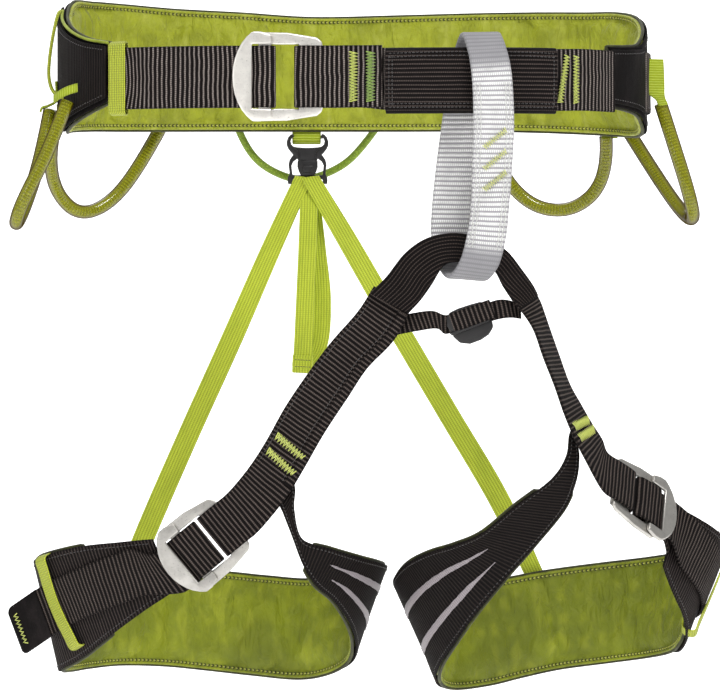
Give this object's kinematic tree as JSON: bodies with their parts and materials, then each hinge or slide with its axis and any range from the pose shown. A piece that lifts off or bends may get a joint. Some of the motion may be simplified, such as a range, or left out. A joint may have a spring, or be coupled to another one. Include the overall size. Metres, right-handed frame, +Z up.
{
  "type": "climbing harness",
  "caption": "Sit harness with padded waist belt, adjustable leg loops, belay loop, gear loops, elastic risers and sliding metal buckles.",
  "frame": {"origin": "centre of the waist opening at half the belt's height", "axes": "+Z up the waist opening's axis, +X to the wearer's left, +Y to the wearer's back"},
  "size_m": [0.4789, 0.2367, 0.4632],
  "materials": {
    "lime_lining": "fine woven lining over foam",
    "lime_elastic": "ribbed elastic tape",
    "lime_webbing": "narrow webbing",
    "lime_thread": "bar tack thread",
    "black_fabric": "tight matt weave",
    "black_webbing": "cross-ribbed webbing",
    "belay_webbing": "cross-ribbed load webbing",
    "buckle_alloy": "satin, forged edges",
    "black_plastic": "moulded",
    "olive_tube": "clear flexible tube"
  },
  "bodies": {
    "waist_belt": {"belt_end_left": "black_fabric", "belt_end_right": "black_fabric", "belt_outer_shell": "black_fabric", "belt_pad": "lime_lining", "bridge_sleeve": "black_fabric", "cross_ladder_lock": "black_plastic", "cross_strap_fold": "black_webbing", "cross_strap_left": "black_webbing", "cross_strap_right": "black_webbing", "gear_loop_tabs_left": "lime_webbing", "gear_loop_tabs_right": "lime_webbing", "left_leg_strap_upper": "black_webbing", "rear_tab": "lime_webbing", "right_leg_strap_upper": "black_webbing", "riser_buckle_frame": "black_plastic", "riser_left": "lime_elastic", "riser_right": "lime_elastic", "riser_tail": "lime_elastic", "riser_tail_end": "lime_elastic", "tie_in_backing": "black_webbing", "tie_in_sleeve": "black_fabric", "waist_adjust_webbing": "black_webbing", "waist_bartacks": "lime_thread", "waist_buckle_frame": "buckle_alloy", "waist_fixed_webbing": "black_webbing", "waist_keeper": "lime_elastic", "waist_webbing_rear": "black_webbing"},
    "belay_loop": {"belay_loop": "belay_webbing", "belay_bartacks": "lime_thread"},
    "right_leg_loop": {"right_leg_adjust_webbing": "black_webbing", "right_leg_bartacks": "lime_thread", "right_leg_buckle_frame": "buckle_alloy", "right_leg_inner_shell": "black_fabric", "right_leg_keeper": "lime_elastic", "right_leg_outer_shell": "black_fabric", "right_leg_pad": "lime_lining", "right_leg_strap": "black_webbing", "right_leg_tail_end": "black_webbing"},
    "left_leg_loop": {"left_leg_adjust_webbing": "black_webbing", "left_leg_bartacks": "lime_thread", "left_leg_buckle_frame": "buckle_alloy", "left_leg_inner_shell": "black_fabric", "left_leg_keeper": "lime_elastic", "left_leg_outer_shell": "black_fabric", "left_leg_pad": "lime_lining", "left_leg_strap": "black_webbing", "left_leg_tail_end": "black_webbing"},
    "waist_slider": {"waist_buckle_slider": "buckle_alloy"},
    "right_leg_slider": {"right_leg_buckle_slider": "buckle_alloy"},
    "left_leg_slider": {"left_leg_buckle_slider": "buckle_alloy"},
    "gear_loop_front_right": {"gear_loop_front_right_tube": "olive_tube"},
    "gear_loop_rear_right": {"gear_loop_rear_right_tube": "olive_tube"},
    "gear_loop_front_left": {"gear_loop_front_left_tube": "olive_tube"},
    "gear_loop_rear_left": {"gear_loop_rear_left_tube": "olive_tube"},
    "haul_loop": {"haul_loop": "lime_webbing"},
    "riser_latch": {"riser_buckle_latch": "black_plastic"}
  },
  "joints": [
    {"name": "belay_loop_twist", "type": "hinge", "parent": "waist_belt", "child": "belay_loop", "pos_m": [0.071, -0.1075, -0.059], "axis": [0.1426, 0.0084, 0.9897], "range_deg": [-8, 8]},
    {"name": "right_leg_swing", "type": "hinge", "parent": "waist_belt", "child": "right_leg_loop", "pos_m": [-0.011, -0.0955, -0.195], "axis": [1, 0, 0], "range_deg": [-20, 20], "stiffness_Nm_per_rad": 0.9, "springref_deg": 3.5, "deforming": ["riser_right"]},
    {"name": "left_leg_swing", "type": "hinge", "parent": "waist_belt", "child": "left_leg_loop", "pos_m": [0.127, -0.095, -0.191], "axis": [1, 0, 0], "range_deg": [-20, 20], "stiffness_Nm_per_rad": 0.9, "springref_deg": 3.32, "deforming": ["riser_left"]},
    {"name": "waist_buckle_tilt", "type": "hinge", "parent": "waist_belt", "child": "waist_slider", "pos_m": [-0.0536, -0.10175, -0.0071], "axis": [0, 0, 1], "range_deg": [0, 14]},
    {"name": "right_leg_buckle_tilt", "type": "hinge", "parent": "right_leg_loop", "child": "right_leg_slider", "pos_m": [-0.10315, -0.07875, -0.31363], "axis": [-0.6343, 0, 0.7731], "range_deg": [0, 14]},
    {"name": "left_leg_buckle_tilt", "type": "hinge", "parent": "left_leg_loop", "child": "left_leg_slider", "pos_m": [0.19118, -0.07338, -0.2828], "axis": [-0.1124, -0.6433, -0.7573], "range_deg": [0, 14]},
    {"name": "gear_loop_front_right_swing", "type": "hinge", "parent": "waist_belt", "child": "gear_loop_front_right", "pos_m": [-0.196, -0.02525, -0.022], "axis": [-0.3401, 0.9353, -0.0972], "range_deg": [0, 55]},
    {"name": "gear_loop_rear_right_swing", "type": "hinge", "parent": "waist_belt", "child": "gear_loop_rear_right", "pos_m": [-0.16825, 0.0545, -0.035], "axis": [0.7239, 0.6869, 0.0634], "range_deg": [0, 55]},
    {"name": "gear_loop_front_left_swing", "type": "hinge", "parent": "waist_belt", "child": "gear_loop_front_left", "pos_m": [0.19525, 0.0255, -0.0285], "axis": [0.2451, -0.936, 0.2526], "range_deg": [0, 55]},
    {"name": "gear_loop_rear_left_swing", "type": "hinge", "parent": "waist_belt", "child": "gear_loop_rear_left", "pos_m": [0.129, 0.08125, -0.035], "axis": [0.9547, -0.2898, -0.0682], "range_deg": [0, 55]},
    {"name": "haul_loop_swing", "type": "hinge", "parent": "waist_belt", "child": "haul_loop", "pos_m": [-0.033, 0.0955, -0.03], "axis": [1, 0, 0], "range_deg": [0, 70]},
    {"name": "riser_latch_flex", "type": "hinge", "parent": "waist_belt", "child": "riser_latch", "pos_m": [-0.0326, 0.086, -0.0452], "axis": [1, 0, 0], "range_deg": [0, 18], "stiffness_Nm_per_rad": 0.02}
  ]
}
